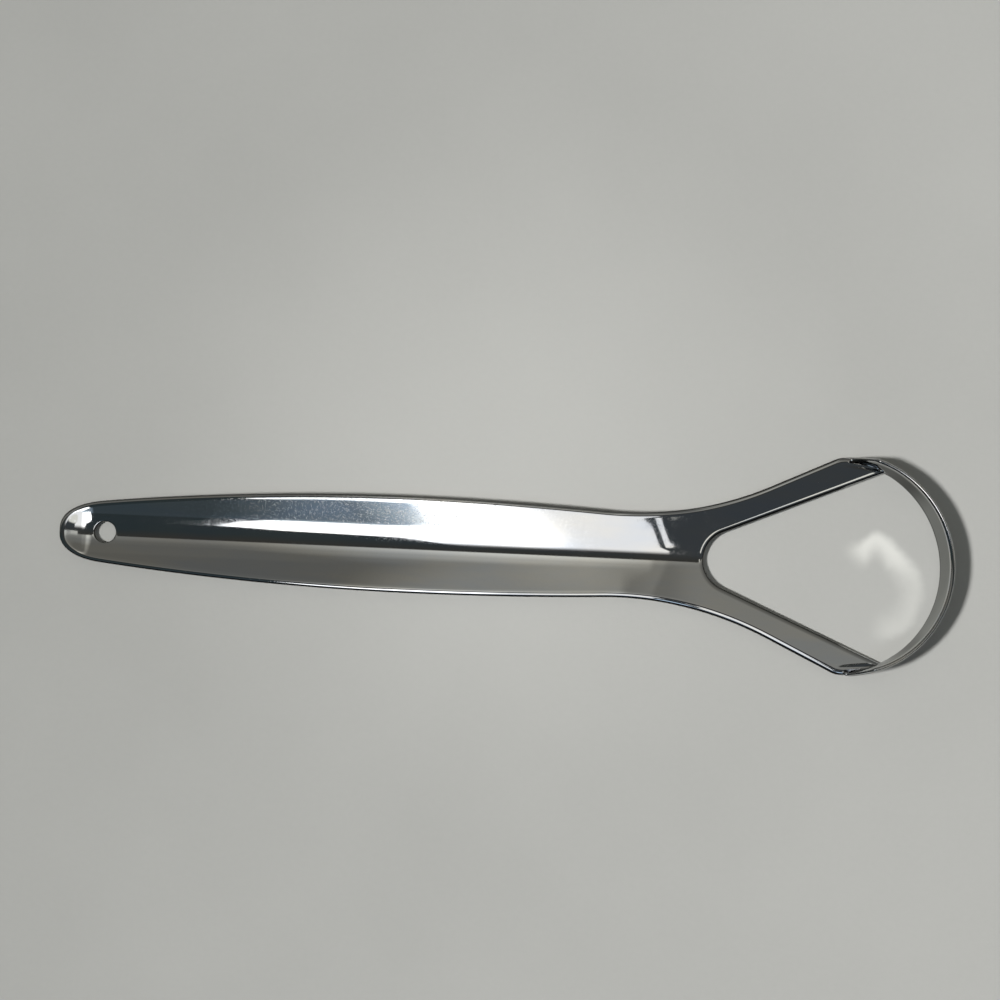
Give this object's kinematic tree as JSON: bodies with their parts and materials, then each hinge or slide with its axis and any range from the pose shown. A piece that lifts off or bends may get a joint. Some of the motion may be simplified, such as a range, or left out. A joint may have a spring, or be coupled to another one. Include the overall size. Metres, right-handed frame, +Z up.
{
  "type": "tongue scraper",
  "caption": "One-piece polished steel tongue scraper: leaf-shaped gutter handle with a hanging hole, forked arms and an upright scraping loop.",
  "frame": {"origin": "on the table, under the middle of the length and of the width", "axes": "+X from the hanging hole to the loop, +Y across the handle to its left, +Z up out of the gutter's open side"},
  "size_m": [0.16, 0.0394, 0.0053],
  "materials": {
    "polished_steel": "mirror polished stainless steel with fine scratches from use"
  },
  "bodies": {
    "root": {"handle": "polished_steel", "fork": "polished_steel", "left_arm": "polished_steel", "right_arm": "polished_steel", "scraping_loop": "polished_steel"}
  },
  "joints": []
}
